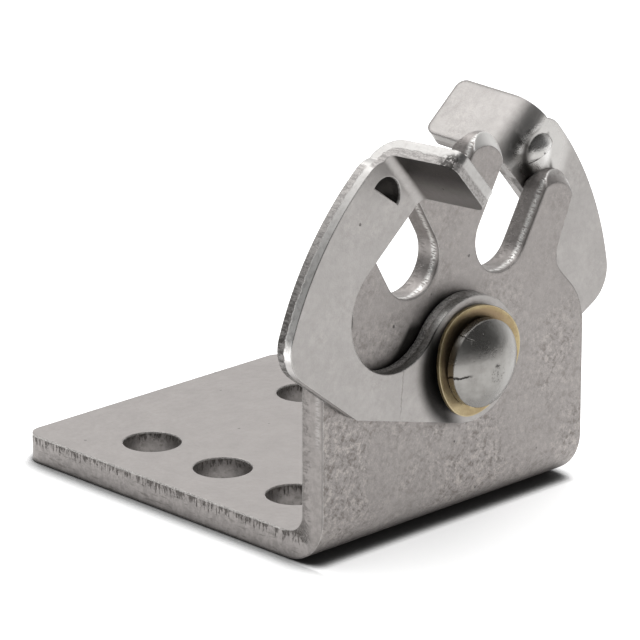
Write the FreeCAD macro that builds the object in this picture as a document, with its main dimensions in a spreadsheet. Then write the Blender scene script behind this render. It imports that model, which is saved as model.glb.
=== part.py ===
import FreeCAD, Part
import math
import os

import Sketcher
from FreeCAD import Placement, Rotation, Vector

# Twin-latch cable clip, millimetres.
# X runs along the fold of the bracket, Y from the wall back over the base, Z up.
# The origin is the centre of the screw pattern on the base's underside.

doc = FreeCAD.newDocument("cable_clip")
sizes = doc.addObject("Spreadsheet::Sheet", "Sizes")

DRIVING = (
    # bracket: one plate folded once
    ("plate", 3.0),
    ("width", 38.2),
    ("bend_inner", 2.3),
    ("corner_round", 2.0),
    ("pivot_height", 18.65),
    # screw holes, two columns of three rows
    ("screw_hole", 6.4),
    ("screw_pitch", 11.1),
    ("screw_rows", 3),
    ("screw_columns_apart", 22.8),
    ("screw_margin", 12.0),
    # crown of the wall: lengths along a slot count from the pivot
    ("slot_lean", 30.0),
    ("slot_width", 7.8),
    ("slot_reach", 13.1),
    ("tip_reach", 22.1),
    ("horn_width", 4.7),
    ("finger_width", 4.3),
    ("finger_flare", 7.3),
    ("crotch_round", 1.4),
    ("neck_round", 2.7),
    ("neck_slope", 47.0),
    ("shoulder_round", 7.0),
    ("finger_drop", 12.5),
    ("bevel_width", 1.25),
    ("bevel_lean", 23.0),
    # latch plate, drawn as it stands when it closes the left slot
    ("latch_plate", 2.0),
    ("boss_radius", 6.75),
    ("notch_round", 6.45),
    ("notch_turn", 55.2),
    ("arm_rise", 40.3),
    ("arm_width", 7.85),
    ("arm_end", 5.5),
    ("ear_round", 3.0),
    ("arm_straight", 0.6),
    ("heel_reach", 25.6),
    ("heel_round", 4.0),
    ("keel_slope", 37.8),
    ("chin_reach", 16.5),
    ("chin_round", 0.8),
    ("belly_slope", 15.0),
    # thumb tab at the end of the arm
    ("tab_bend", 86.2),
    ("tab_inner", 1.0),
    ("tab_width", 7.2),
    ("tab_length", 7.6),
    ("tab_corner", 1.1),
    # half-dome bump struck through the arm
    ("bump_radius", 2.05),
    ("bump_height", 0.75),
    ("bump_pocket", 1.5),
    ("bump_turn", 35.9),
    ("bump_reach", 23.6),
    ("bump_aside", 32.0),
    # how far each latch stands open from closed
    ("front_open", 0.0),
    ("rear_open", 9.5),
    # rivet and bowed spring washers
    ("shank", 5.0),
    ("head_radius", 4.65),
    ("head_land", 0.9),
    ("head_dome", 1.7),
    ("washer_radius", 5.88),
    ("washer_bore", 5.4),
    ("washer_plate", 0.4),
    ("washer_bow", 0.9),
    ("washer_turn", 27.0),
    # clearances
    ("latch_gap", 0.2),
    ("turning_fit", 0.05),
    ("seat_gap", 0.05),
)

for row, (alias, value) in enumerate(DRIVING, start=1):
    sizes.set("A%d" % row, alias)
    sizes.set("B%d" % row, str(value))
    sizes.setAlias("B%d" % row, alias)
doc.recompute()


def size(alias):
    """Value of one driving dimension."""
    return float(sizes.get(alias))


def sin(degrees):
    return math.sin(math.radians(degrees))


def cos(degrees):
    return math.cos(math.radians(degrees))


# Derived places that several pieces share.
WALL_FRONT = -(size("screw_margin") + size("screw_pitch") * (size("screw_rows") - 1) / 2)
WALL_BACK = WALL_FRONT + size("plate")
BASE_END = -WALL_FRONT
BEND_OUTER = size("bend_inner") + size("plate")
HALF_BASE = "(Sizes.screw_margin + Sizes.screw_pitch * (Sizes.screw_rows - 1) / 2)"
ORIGIN = (-1, 1)


# Sketch helpers

def new_body(label):
    body = doc.addObject("PartDesign::Body", label)
    body.Label = label
    return body


def origin_feature(body, role):
    return next(f for f in body.Origin.OriginFeatures if f.Role == role)


def new_sketch(body, name, role, offset=None):
    sketch = body.newObject("Sketcher::SketchObject", name)
    sketch.AttachmentSupport = [(origin_feature(body, role), "")]
    sketch.MapMode = "FlatFace"
    if offset is not None:
        sketch.AttachmentOffset = offset
    return sketch


def leaning_plane(x, z, lean):
    """Offset from the YZ plane: origin at (x, z), its Z leaning by lean towards +X."""
    return Placement(Vector(0, z, x), Rotation(Vector(1, 0, 0), lean))


def swung(vector, degrees):
    """The vector turned counter-clockwise in the sketch plane."""
    return Rotation(Vector(0, 0, 1), degrees).multVec(vector)


def arc_middle(start, centre, end, turn):
    """Point halfway along an arc that runs counter-clockwise for turn 1."""
    first = start - centre
    last = end - centre
    sweep = math.degrees(math.atan2(first.cross(last).z, first.dot(last))) * turn % 360
    return centre + swung(first, turn * sweep / 2)


def chain(sketch, links):
    """Closed outline of lines and arcs; joints are tangent unless marked sharp.

    Each link starts at a point; an arc also has a centre and a turn, 1 for
    counter-clockwise. Returns the geometry numbers in the same order.
    """
    ids = []
    ends = []
    for index, link in enumerate(links):
        start = link["start"]
        end = links[(index + 1) % len(links)]["start"]
        if "centre" in link:
            middle = arc_middle(start, link["centre"], end, link["turn"])
            ids.append(sketch.addGeometry(Part.Arc(start, middle, end), False))
            ends.append((1, 2) if link["turn"] > 0 else (2, 1))
        else:
            ids.append(sketch.addGeometry(Part.LineSegment(start, end), False))
            ends.append((1, 2))
    for index in range(len(links)):
        after = (index + 1) % len(links)
        kind = "Coincident" if links[after].get("sharp") else "Tangent"
        sketch.addConstraint(Sketcher.Constraint(
            kind, ids[index], ends[index][1], ids[after], ends[after][0]))
    return ids


def bind(sketch, name, expression, kind, *places):
    """Named driving constraint; its value, the last of places, comes from the sheet."""
    index = sketch.addConstraint(Sketcher.Constraint(kind, *places))
    sketch.renameConstraint(index, name)
    sketch.setExpression("Constraints." + name, expression)


def straighten(sketch, horizontal=(), vertical=()):
    for line in horizontal:
        sketch.addConstraint(Sketcher.Constraint("Horizontal", line))
    for line in vertical:
        sketch.addConstraint(Sketcher.Constraint("Vertical", line))


def rounded_corner(before, corner, after, radius):
    """Start, centre and end of the arc that rounds a corner between two points."""
    back = (before - corner).normalize()
    ahead = (after - corner).normalize()
    half = back.getAngle(ahead) / 2
    middle = (back + ahead).normalize()
    reach = radius / math.tan(half)
    centre = corner + middle * (radius / math.sin(half))
    return corner + back * reach, centre, corner + ahead * reach


def crossing(point_a, along_a, point_b, along_b):
    """Where two lines in the sketch plane meet."""
    return point_a + along_a * ((point_b - point_a).cross(along_b).z / along_a.cross(along_b).z)


# Feature helpers

def finish_feature(body, feature):
    body.Tip = feature
    doc.recompute()
    return feature


def add_pad(body, sketch, name, expression, symmetric=False):
    pad = body.newObject("PartDesign::Pad", name)
    pad.Profile = sketch
    pad.SideType = "Symmetric" if symmetric else "One side"
    pad.setExpression("Length", expression)
    return finish_feature(body, pad)


def add_through_pocket(body, sketch, name):
    pocket = body.newObject("PartDesign::Pocket", name)
    pocket.Profile = sketch
    pocket.SideType = "Symmetric"
    pocket.Type = "ThroughAll"
    return finish_feature(body, pocket)


def add_turned(body, sketch, name, kind, angle, axis):
    """Revolution or Groove about one of the sketch's own axes, half to each side."""
    turned = body.newObject("PartDesign::" + kind, name)
    turned.Profile = sketch
    turned.ReferenceAxis = (sketch, [axis])
    turned.Angle = angle
    turned.Midplane = True
    return finish_feature(body, turned)


def add_mirror(body, features, name):
    mirror = body.newObject("PartDesign::Mirrored", name)
    mirror.Originals = features
    mirror.MirrorPlane = (origin_feature(body, "YZ_Plane"), [""])
    return finish_feature(body, mirror)


def add_fillet(body, base, name, chosen, expression):
    """Rounds the edges of base for which chosen(edge) is true."""
    numbered = enumerate(base.Shape.Edges, start=1)
    names = ["Edge%d" % number for number, edge in numbered if chosen(edge)]
    fillet = body.newObject("PartDesign::Fillet", name)
    fillet.Base = (base, names)
    fillet.setExpression("Radius", expression)
    return finish_feature(body, fillet)


# Bracket

def add_folded_plate(body):
    """L section with the two bend arcs, seen along X, drawn out to the width."""
    plate = size("plate")
    blank_top = size("pivot_height") + size("tip_reach") + plate
    bend_y = WALL_FRONT + BEND_OUTER
    centre = Vector(bend_y, BEND_OUTER, 0)
    section = new_sketch(body, "fold_section", "YZ_Plane")
    (under, outer_bend, wall_face, top, wall_rear, inner_bend, over, rear_edge) = chain(section, [
        {"start": Vector(BASE_END, 0, 0), "sharp": True},
        {"start": Vector(bend_y, 0, 0), "centre": centre, "turn": -1},
        {"start": Vector(WALL_FRONT, BEND_OUTER, 0)},
        {"start": Vector(WALL_FRONT, blank_top, 0), "sharp": True},
        {"start": Vector(WALL_BACK, blank_top, 0), "sharp": True},
        {"start": Vector(WALL_BACK, BEND_OUTER, 0), "centre": centre, "turn": 1},
        {"start": Vector(bend_y, plate, 0)},
        {"start": Vector(BASE_END, plate, 0), "sharp": True},
    ])
    straighten(section, (under, top, over), (wall_face, wall_rear, rear_edge))
    section.addConstraint(Sketcher.Constraint("PointOnObject", under, 1, -1))
    bind(section, "front_half", HALF_BASE, "DistanceX", wall_face, 1, *ORIGIN, -WALL_FRONT)
    bind(section, "rear_half", HALF_BASE, "DistanceX", *ORIGIN, under, 1, BASE_END)
    bind(section, "base_plate", "Sizes.plate", "DistanceY", under, 1, over, 2, plate)
    bind(section, "wall_plate", "Sizes.plate", "DistanceX", top, 1, top, 2, plate)
    bind(section, "outer_bend", "Sizes.bend_inner + Sizes.plate", "Radius", outer_bend, BEND_OUTER)
    bind(section, "inner_bend", "Sizes.bend_inner", "Radius", inner_bend, size("bend_inner"))
    bind(section, "blank_top", "Sizes.pivot_height + Sizes.tip_reach + Sizes.plate",
         "DistanceY", *ORIGIN, top, 1, blank_top)
    return add_pad(body, section, "folded_plate", "Sizes.width", symmetric=True)


def crown_places():
    """Points of the crown's right half on the wall's face, x across and y up."""
    lean = size("slot_lean")
    along = Vector(sin(lean), cos(lean), 0)
    across = Vector(cos(lean), -sin(lean), 0)
    pivot = Vector(0, size("pivot_height"), 0)
    half_slot = size("slot_width") / 2
    half_horn = size("horn_width") / 2
    half_finger = size("finger_width") / 2
    slot = pivot + along * size("slot_reach")
    horn = pivot + along * (size("tip_reach") - half_horn) - across * (half_slot + half_horn)
    finger = pivot + along * (size("tip_reach") - half_finger) + across * (half_slot + half_finger)
    crotch_up = (half_slot + 2 * half_horn + size("crotch_round")) / sin(lean)
    return {
        "along": along, "across": across, "slot": slot, "horn": horn, "finger": finger,
        "crotch": pivot + Vector(0, crotch_up, 0),
        "half_slot": half_slot, "half_horn": half_horn, "half_finger": half_finger,
    }


def add_crown(body):
    """Cuts the right half of the waste round the crown, then its mirror image."""
    at = crown_places()
    across = at["across"]
    flare = size("slot_lean") - size("finger_flare")
    outward = Vector(cos(flare), -sin(flare), 0)
    half_width = size("width") / 2
    beyond = half_width + size("plate")
    above = size("pivot_height") + size("tip_reach") + 2 * size("plate")
    finger_side = at["finger"] + outward * at["half_finger"]
    shoulder = Vector(half_width, at["finger"].y - size("finger_drop"), 0)
    slope = Vector(-cos(size("neck_slope")), sin(size("neck_slope")), 0)
    neck = crossing(finger_side, swung(outward, 90), shoulder, slope)
    neck_in, neck_centre, neck_out = rounded_corner(finger_side, neck, shoulder, size("neck_round"))
    turn_in, turn_centre, turn_out = rounded_corner(
        neck, shoulder, Vector(half_width, 0, 0), size("shoulder_round"))
    crotch_low = at["crotch"] - Vector(0, size("crotch_round"), 0)

    waste = new_sketch(body, "crown_waste", "XZ_Plane")
    (crotch, horn_inside, horn_tip, horn_side, slot_seat, finger_inside, finger_tip, finger_outside,
     neck_arc, neck_line, shoulder_arc, step, side, roof, middle) = chain(waste, [
        {"start": crotch_low, "centre": at["crotch"], "turn": 1, "sharp": True},
        {"start": at["crotch"] + across * size("crotch_round")},
        {"start": at["horn"] - across * at["half_horn"], "centre": at["horn"], "turn": -1},
        {"start": at["horn"] + across * at["half_horn"]},
        {"start": at["slot"] - across * at["half_slot"], "centre": at["slot"], "turn": 1},
        {"start": at["slot"] + across * at["half_slot"]},
        {"start": at["finger"] - across * at["half_finger"], "centre": at["finger"], "turn": -1},
        {"start": finger_side},
        {"start": neck_in, "centre": neck_centre, "turn": 1},
        {"start": neck_out},
        {"start": turn_in, "centre": turn_centre, "turn": -1},
        {"start": turn_out, "sharp": True},
        {"start": Vector(beyond, turn_out.y, 0), "sharp": True},
        {"start": Vector(beyond, above, 0), "sharp": True},
        {"start": Vector(0, above, 0), "sharp": True},
    ])
    straighten(waste, (step, roof), (side, middle))
    waste.addConstraint(Sketcher.Constraint("PointOnObject", crotch, 3, -2))
    waste.addConstraint(Sketcher.Constraint("PointOnObject", crotch, 1, -2))
    waste.addConstraint(Sketcher.Constraint("Horizontal", shoulder_arc, 3, step, 1))
    waste.addConstraint(Sketcher.Constraint("Parallel", horn_side, horn_inside))
    waste.addConstraint(Sketcher.Constraint("Parallel", finger_inside, horn_inside))
    bind(waste, "crotch_round", "Sizes.crotch_round", "Radius", crotch, size("crotch_round"))
    bind(waste, "horn_round", "Sizes.horn_width / 2", "Radius", horn_tip, at["half_horn"])
    bind(waste, "slot_round", "Sizes.slot_width / 2", "Radius", slot_seat, at["half_slot"])
    bind(waste, "finger_round", "Sizes.finger_width / 2", "Radius", finger_tip, at["half_finger"])
    bind(waste, "neck_round", "Sizes.neck_round", "Radius", neck_arc, size("neck_round"))
    bind(waste, "shoulder_round", "Sizes.shoulder_round", "Radius", shoulder_arc, size("shoulder_round"))
    bind(waste, "slot_lean", "90 - Sizes.slot_lean", "Angle", horn_inside,
         math.radians(90 - size("slot_lean")))
    bind(waste, "finger_flare", "Sizes.finger_flare - Sizes.slot_lean - 90", "Angle", finger_outside,
         math.radians(-flare - 90))
    bind(waste, "neck_slope", "-Sizes.neck_slope", "Angle", neck_line, math.radians(-size("neck_slope")))
    bind(waste, "slot_x", "Sizes.slot_reach * sin(Sizes.slot_lean)",
         "DistanceX", *ORIGIN, slot_seat, 3, at["slot"].x)
    bind(waste, "slot_y", "Sizes.pivot_height + Sizes.slot_reach * cos(Sizes.slot_lean)",
         "DistanceY", *ORIGIN, slot_seat, 3, at["slot"].y)
    bind(waste, "horn_y", "Sizes.pivot_height + (Sizes.tip_reach - Sizes.horn_width / 2)"
         " * cos(Sizes.slot_lean) + (Sizes.slot_width + Sizes.horn_width) / 2 * sin(Sizes.slot_lean)",
         "DistanceY", *ORIGIN, horn_tip, 3, at["horn"].y)
    bind(waste, "finger_y", "Sizes.pivot_height + (Sizes.tip_reach - Sizes.finger_width / 2)"
         " * cos(Sizes.slot_lean) - (Sizes.slot_width + Sizes.finger_width) / 2 * sin(Sizes.slot_lean)",
         "DistanceY", *ORIGIN, finger_tip, 3, at["finger"].y)
    bind(waste, "shoulder_x", "Sizes.width / 2", "DistanceX", *ORIGIN, step, 1, half_width)
    bind(waste, "shoulder_y", "Sizes.pivot_height + (Sizes.tip_reach - Sizes.finger_width / 2)"
         " * cos(Sizes.slot_lean) - (Sizes.slot_width + Sizes.finger_width) / 2 * sin(Sizes.slot_lean)"
         " - Sizes.finger_drop - Sizes.shoulder_round * tan(45 - Sizes.neck_slope / 2)",
         "DistanceY", *ORIGIN, step, 1, turn_out.y)
    bind(waste, "beyond", "Sizes.width / 2 + Sizes.plate", "DistanceX", *ORIGIN, side, 1, beyond)
    bind(waste, "above", "Sizes.pivot_height + Sizes.tip_reach + 2 * Sizes.plate",
         "DistanceY", *ORIGIN, roof, 1, above)
    cut = add_through_pocket(body, waste, "crown_right")
    return add_mirror(body, [cut], "crown_left")


def add_tip_bevel(body, name, tip, radius):
    """Crescent bevels on both faces of a rounded tip, cut by a cone.

    The cone stands behind the tip's own centre, far enough for the bevel to
    fade out where the round tip runs into the straight sides.
    """
    bevel = size("bevel_width")
    lean = size("bevel_lean")
    behind = bevel * (2 * radius - bevel) / (2 * (radius - bevel))
    start = behind + radius - bevel
    spare = size("latch_gap")
    centre = tip - Vector(sin(lean), cos(lean), 0) * behind
    ring = new_sketch(body, name + "_section", "YZ_Plane", leaning_plane(centre.x, centre.y, lean))
    for face, inward in ((WALL_FRONT, 1), (WALL_BACK, -1)):
        low = Vector(face - inward * spare, start - spare, 0)
        high = Vector(face - inward * spare, start + bevel + spare, 0)
        deep = Vector(face + inward * (bevel + spare), start + bevel + spare, 0)
        side, across, cone = chain(ring, [
            {"start": low, "sharp": True},
            {"start": high, "sharp": True},
            {"start": deep, "sharp": True},
        ])
        straighten(ring, (across,), (side,))
        ring.addConstraint(Sketcher.Constraint("DistanceX", *ORIGIN, side, 1, low.x))
        ring.addConstraint(Sketcher.Constraint("DistanceY", *ORIGIN, side, 1, low.y))
        ring.addConstraint(Sketcher.Constraint("DistanceX", *ORIGIN, across, 2, deep.x))
        ring.addConstraint(Sketcher.Constraint("DistanceY", *ORIGIN, across, 2, deep.y))
    return add_turned(body, ring, name, "Groove", 150, "H_Axis")


def build_bracket():
    """Folded plate: base with screw holes, wall with slots, horns and fingers."""
    body = new_body("bracket")
    blank = add_folded_plate(body)

    def at_base_end(edge):
        upright = edge.BoundBox.ZLength > edge.BoundBox.XLength
        return upright and abs(edge.CenterOfMass.y - BASE_END) < 1e-6
    add_fillet(body, blank, "base_corners", at_base_end, "Sizes.corner_round")

    holes = new_sketch(body, "screw_row", "XY_Plane")
    row_y = WALL_FRONT + size("screw_margin")
    column = size("screw_columns_apart") / 2
    for side, label in ((-1, "left"), (1, "right")):
        hole = holes.addGeometry(Part.Circle(Vector(side * column, row_y, 0), Vector(0, 0, 1),
                                             size("screw_hole") / 2), False)
        bind(holes, label + "_hole", "Sizes.screw_hole", "Diameter", hole, size("screw_hole"))
        bind(holes, label + "_row", "-Sizes.screw_pitch * (Sizes.screw_rows - 1) / 2",
             "DistanceY", *ORIGIN, hole, 3, row_y)
        bind(holes, label + "_column", "%d * Sizes.screw_columns_apart / 2" % side,
             "DistanceX", *ORIGIN, hole, 3, side * column)
    row = add_through_pocket(body, holes, "screw_holes_first_row")
    rows = body.newObject("PartDesign::LinearPattern", "screw_holes")
    rows.Originals = [row]
    rows.Direction = (origin_feature(body, "Y_Axis"), [""])
    rows.Mode = "Spacing"
    rows.setExpression("Offset", "Sizes.screw_pitch")
    rows.setExpression("Occurrences", "Sizes.screw_rows")
    finish_feature(body, rows)

    crown = add_crown(body)
    at = crown_places()
    bevels = [add_tip_bevel(body, "horn_bevel", at["horn"], at["half_horn"]),
              add_tip_bevel(body, "finger_bevel", at["finger"], at["half_finger"])]
    add_mirror(body, bevels, "left_bevels")

    bore = new_sketch(body, "pivot_section", "XZ_Plane")
    ring = bore.addGeometry(Part.Circle(Vector(0, size("pivot_height"), 0), Vector(0, 0, 1),
                                        size("shank") / 2), False)
    bore.addConstraint(Sketcher.Constraint("PointOnObject", ring, 3, -2))
    bind(bore, "pivot_height", "Sizes.pivot_height", "DistanceY", *ORIGIN, ring, 3, size("pivot_height"))
    bind(bore, "bore", "Sizes.shank", "Diameter", ring, size("shank"))
    add_through_pocket(body, bore, "pivot_bore")
    return body


# Latch

def latch_places():
    """Points of the latch on its wall-side face, x across and y up from the pivot."""
    rise = size("arm_rise")
    along = Vector(cos(rise), sin(rise), 0)
    inward = Vector(sin(rise), -cos(rise), 0)
    to_notch = Vector(-sin(size("notch_turn")), cos(size("notch_turn")), 0)
    notch_radius = size("notch_round")
    notch = to_notch * (size("boss_radius") + notch_radius)
    arm_root = notch - inward * notch_radius
    fold_inner = arm_root + along * (size("arm_end") - arm_root.dot(along))
    fold_outer = fold_inner - inward * size("tab_width")
    arm_outer = fold_inner - inward * size("arm_width")
    bump = Vector(-sin(size("bump_aside")), cos(size("bump_aside")), 0) * size("bump_reach")
    return {
        "along": along, "inward": inward, "to_notch": to_notch, "notch": notch,
        "arm_root": arm_root, "arm_outer": arm_outer, "notch_radius": notch_radius,
        "fold_inner": fold_inner, "fold_outer": fold_outer, "bump": bump,
    }


def add_latch_plate(body):
    """Outline of the latch: boss, open notch, arm, long bowed flank, heel and slanted keel."""
    at = latch_places()
    pivot = Vector(0, 0, 0)
    boss = size("boss_radius")
    belly_slope = size("belly_slope")
    keel_slope = size("keel_slope")
    heel_round = size("heel_round")
    belly_start = Vector(-sin(belly_slope), -cos(belly_slope), 0) * boss
    belly = Vector(-cos(belly_slope), sin(belly_slope), 0)
    keel = Vector(-cos(keel_slope), sin(keel_slope), 0)
    upright = Vector(0, 1, 0)
    chin = crossing(belly_start, belly, Vector(-size("chin_reach"), 0, 0), upright)
    heel_foot = Vector(heel_round * (1 - sin(keel_slope)) - size("heel_reach"), 0, 0)
    heel_in = crossing(chin, keel, heel_foot, upright)
    heel_centre = heel_in + swung(keel, -90) * heel_round
    chin_in, chin_centre, chin_out = rounded_corner(belly_start, chin, heel_in, size("chin_round"))
    ear = size("ear_round")
    drop = size("arm_width") - size("tab_width")
    ear_start = at["arm_outer"] - at["along"] * math.sqrt(2 * ear * drop - drop ** 2)
    arm_start = ear_start - at["along"] * size("arm_straight")
    # the long flank touches the heel's arc from outside and the arm's edge at its start
    span = arm_start - heel_centre
    flank = (span.dot(span) - heel_round ** 2) / (-2 * (span.dot(at["inward"]) + heel_round))
    flank_centre = arm_start + at["inward"] * flank
    heel_out = heel_centre + (heel_centre - flank_centre).normalize() * heel_round

    outline = new_sketch(body, "latch_outline", "XZ_Plane")
    (arm_inner, notch_arc, boss_arc, belly_line, chin_arc, keel_line, heel_arc, flank_arc,
     arm_outer, ear_arc, fold_line) = chain(outline, [
        {"start": at["fold_inner"], "sharp": True},
        {"start": at["arm_root"], "centre": at["notch"], "turn": 1},
        {"start": at["to_notch"] * boss, "centre": pivot, "turn": -1},
        {"start": belly_start},
        {"start": chin_in, "centre": chin_centre, "turn": -1},
        {"start": chin_out},
        {"start": heel_in, "centre": heel_centre, "turn": -1},
        {"start": heel_out, "centre": flank_centre, "turn": -1},
        {"start": arm_start},
        {"start": ear_start, "centre": ear_start + at["inward"] * ear, "turn": -1},
        {"start": at["fold_outer"], "sharp": True},
    ])
    outline.addConstraint(Sketcher.Constraint("Coincident", boss_arc, 3, *ORIGIN))
    outline.addConstraint(Sketcher.Constraint("Perpendicular", fold_line, arm_inner))
    outline.addConstraint(Sketcher.Constraint("Parallel", arm_outer, arm_inner))
    bind(outline, "boss", "Sizes.boss_radius", "Radius", boss_arc, boss)
    bind(outline, "notch", "Sizes.notch_round", "Radius", notch_arc, at["notch_radius"])
    bind(outline, "notch_x", "-(Sizes.boss_radius + Sizes.notch_round) * sin(Sizes.notch_turn)",
         "DistanceX", *ORIGIN, notch_arc, 3, at["notch"].x)
    bind(outline, "arm_rise", "Sizes.arm_rise - 180", "Angle", arm_inner,
         math.radians(size("arm_rise") - 180))
    bind(outline, "arm_width", "Sizes.arm_width", "Distance", arm_inner, 1, arm_outer, size("arm_width"))
    bind(outline, "arm_straight", "Sizes.arm_straight",
         "Distance", arm_outer, 1, arm_outer, 2, size("arm_straight"))
    bind(outline, "ear_round", "Sizes.ear_round", "Radius", ear_arc, ear)
    bind(outline, "tab_width", "Sizes.tab_width", "Distance", fold_line, 1, arm_inner, size("tab_width"))
    bind(outline, "fold_x", "Sizes.arm_end * cos(Sizes.arm_rise) - sin(Sizes.arm_rise)"
         " * (Sizes.notch_round + (Sizes.boss_radius + Sizes.notch_round)"
         " * cos(Sizes.arm_rise - Sizes.notch_turn))",
         "DistanceX", *ORIGIN, arm_inner, 1, at["fold_inner"].x)
    bind(outline, "belly_slope", "180 - Sizes.belly_slope", "Angle", belly_line,
         math.radians(180 - belly_slope))
    bind(outline, "keel_slope", "180 - Sizes.keel_slope", "Angle", keel_line,
         math.radians(180 - keel_slope))
    bind(outline, "chin_round", "Sizes.chin_round", "Radius", chin_arc, size("chin_round"))
    bind(outline, "heel_round", "Sizes.heel_round", "Radius", heel_arc, heel_round)
    bind(outline, "chin_x", "-Sizes.chin_reach + cos(Sizes.belly_slope) * Sizes.chin_round"
         " * tan((Sizes.keel_slope - Sizes.belly_slope) / 2)",
         "DistanceX", *ORIGIN, belly_line, 2, chin_in.x)
    bind(outline, "heel_x", "Sizes.heel_round - Sizes.heel_reach", "DistanceX", *ORIGIN, heel_arc, 3,
         heel_centre.x)
    return add_pad(body, outline, "latch_plate", "Sizes.latch_plate")


def add_thumb_tab(body):
    """Tab folded away from the wall across the end of the arm, corners rounded."""
    at = latch_places()
    plate = size("latch_plate")
    bend = size("tab_bend")
    inner = size("tab_inner")
    outer = inner + plate
    flat_end = size("arm_end")
    overlap = plate / 4
    out = Vector(cos(bend), sin(bend), 0)
    ahead = Vector(-sin(bend), cos(bend), 0)
    centre = Vector(-outer, flat_end, 0)
    edge = at["inward"] * at["fold_outer"].dot(at["inward"])
    section = new_sketch(body, "tab_section", "YZ_Plane",
                         leaning_plane(edge.x, edge.y, 90 - size("arm_rise")))
    (back, outer_bend, outer_face, tip, inner_face, inner_bend, front, root) = chain(section, [
        {"start": Vector(0, flat_end - overlap, 0), "sharp": True},
        {"start": Vector(0, flat_end, 0), "centre": centre, "turn": 1},
        {"start": centre + out * outer},
        {"start": centre + out * outer + ahead * size("tab_length"), "sharp": True},
        {"start": centre + out * inner + ahead * size("tab_length"), "sharp": True},
        {"start": centre + out * inner, "centre": centre, "turn": -1},
        {"start": Vector(-plate, flat_end, 0)},
        {"start": Vector(-plate, flat_end - overlap, 0), "sharp": True},
    ])
    straighten(section, (root,), (back, front))
    section.addConstraint(Sketcher.Constraint("PointOnObject", back, 1, -2))
    section.addConstraint(Sketcher.Constraint("Coincident", outer_bend, 3, inner_bend, 3))
    section.addConstraint(Sketcher.Constraint("Perpendicular", tip, outer_face))
    section.addConstraint(Sketcher.Constraint("Parallel", inner_face, outer_face))
    bind(section, "outer_bend", "Sizes.tab_inner + Sizes.latch_plate", "Radius", outer_bend, outer)
    bind(section, "inner_bend", "Sizes.tab_inner", "Radius", inner_bend, inner)
    bind(section, "flat_end", "Sizes.arm_end", "DistanceY", *ORIGIN, back, 2, flat_end)
    bind(section, "overlap", "Sizes.latch_plate / 4", "DistanceY", back, 1, back, 2, overlap)
    bind(section, "bend", "90 + Sizes.tab_bend", "Angle", outer_face, math.radians(90 + bend))
    bind(section, "length", "Sizes.tab_length", "Distance", outer_face, 1, outer_face, 2,
         size("tab_length"))
    tab = add_pad(body, section, "thumb_tab", "Sizes.tab_width")
    far = -outer - sin(bend) * size("tab_length")
    reach = 3 * plate

    def at_tip(edge):
        middle = edge.CenterOfMass
        return abs(edge.Length - plate) < 1e-6 and middle.y < far + plate and middle.y > far - reach
    return add_fillet(body, tab, "tab_corners", at_tip, "Sizes.tab_corner")


def add_bump(body):
    """Half dome struck through the arm: dome towards the wall, pocket in front.

    Its straight sheared side faces the way in which the latch opens.
    """
    bump = latch_places()["bump"]
    radius = size("bump_radius")
    plane = leaning_plane(bump.x, bump.y, size("bump_turn"))
    for name, kind, face, depth, depth_from in (
            ("bump_pocket", "Groove", -size("latch_plate"), size("bump_pocket"), "Sizes.bump_pocket"),
            ("bump_dome", "Revolution", 0.0, size("bump_height"), "Sizes.bump_height")):
        skirt = face - size("latch_plate") / 4
        sphere = (radius ** 2 + depth ** 2) / (2 * depth)
        section = new_sketch(body, name + "_section", "YZ_Plane", plane)
        (axis, wall, rim, cap) = chain(section, [
            {"start": Vector(face + depth, 0, 0), "sharp": True},
            {"start": Vector(skirt, 0, 0), "sharp": True},
            {"start": Vector(skirt, radius, 0), "sharp": True},
            {"start": Vector(face, radius, 0), "centre": Vector(face + depth - sphere, 0, 0),
             "turn": -1, "sharp": True},
        ])
        straighten(section, (axis, rim), (wall,))
        section.addConstraint(Sketcher.Constraint("PointOnObject", axis, 1, -1))
        section.addConstraint(Sketcher.Constraint("PointOnObject", cap, 3, -1))
        bind(section, "radius", "Sizes.bump_radius", "DistanceY", wall, 1, wall, 2, radius)
        bind(section, "depth", depth_from, "DistanceX", rim, 2, axis, 1, depth)
        bind(section, "skirt", "Sizes.latch_plate / 4", "DistanceX", rim, 1, rim, 2, face - skirt)
        section.addConstraint(Sketcher.Constraint("DistanceX", *ORIGIN, wall, 1, skirt))
        add_turned(body, section, name, kind, 180, "H_Axis")


def build_latch(label, turn, opening, y):
    """One stamped latch; turn 180 puts it behind the wall, facing back."""
    body = new_body(label)
    add_latch_plate(body)
    add_thumb_tab(body)
    add_bump(body)
    bore = new_sketch(body, "pivot_section", "XZ_Plane")
    ring = bore.addGeometry(Part.Circle(Vector(0, 0, 0), Vector(0, 0, 1),
                                        size("shank") / 2 + size("turning_fit")), False)
    bore.addConstraint(Sketcher.Constraint("Coincident", ring, 3, *ORIGIN))
    bind(bore, "bore", "Sizes.shank / 2 + Sizes.turning_fit", "Radius", ring,
         size("shank") / 2 + size("turning_fit"))
    add_through_pocket(body, bore, "pivot_bore")
    swing = Rotation(Vector(0, 1, 0), opening).multiply(Rotation(Vector(0, 0, 1), turn))
    body.Placement = Placement(Vector(0, y, size("pivot_height")), swing)
    return body


# Rivet and washers

def washer_rise():
    """How far the bowed washer has risen where the rivet's head presses on it."""
    return size("washer_bow") * (size("head_radius") / size("washer_radius")) ** 2


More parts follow.
